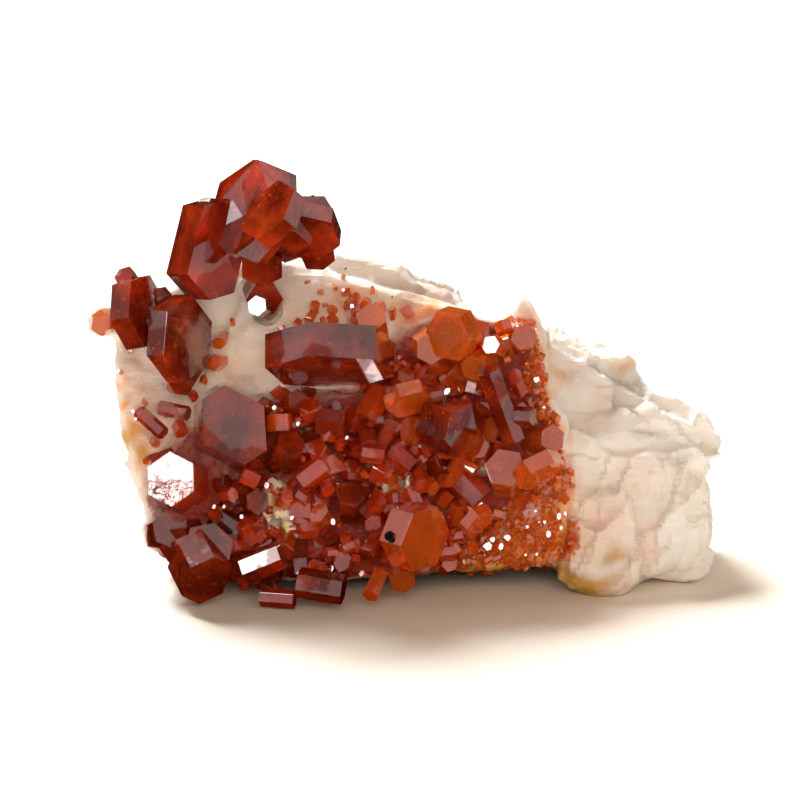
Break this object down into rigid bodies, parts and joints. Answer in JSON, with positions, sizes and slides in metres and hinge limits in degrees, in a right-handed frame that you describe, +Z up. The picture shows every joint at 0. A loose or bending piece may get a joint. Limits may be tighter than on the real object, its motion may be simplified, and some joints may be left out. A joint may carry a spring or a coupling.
{
  "type": "vanadinite crystal specimen on matrix",
  "caption": "Hexagonal deep-red vanadinite crystals in an orange druse on one face of a piece of pale pinkish barite rock, with a flat base to rest on.",
  "frame": {"origin": "middle of the bounding box's bottom, on the surface that the specimen rests on", "axes": "+X along the specimen's length, to the right as the crystal face is looked at; the crystal face looks towards -Y and leans back; +Z up"},
  "size_m": [0.05, 0.0262, 0.035],
  "materials": {
    "rock": "rough cleaved barite, cream to pale pink, with ochre stains",
    "crystal": "glossy, deep red and see-through where thin",
    "druse": "fine sparkling crystals, orange-red"
  },
  "bodies": {
    "root": {"matrix": "rock", "crown_cluster": "crystal", "left_cluster": "crystal", "far_left": "crystal", "long_tablet": "crystal", "tablet_back": "crystal", "plate_crystal": "crystal", "mirror_hex": "crystal", "corner_cluster": "crystal", "mirror_bar": "crystal", "bottom_rod": "crystal", "bottom_bar": "crystal", "bottom_prism": "crystal", "bottom_hex": "crystal", "spot_crystal": "crystal", "gem_hex": "crystal", "right_pair": "crystal", "small_tablet": "crystal", "lilac_tablet": "crystal", "mid_hex": "crystal", "mid_block": "crystal", "glow_pair": "crystal", "cap_pair": "crystal", "rod_pair": "crystal", "rim_block": "crystal", "rim_top": "crystal", "left_rod": "crystal", "left_bar": "crystal", "druse_crust": "druse"}
  },
  "joints": []
}
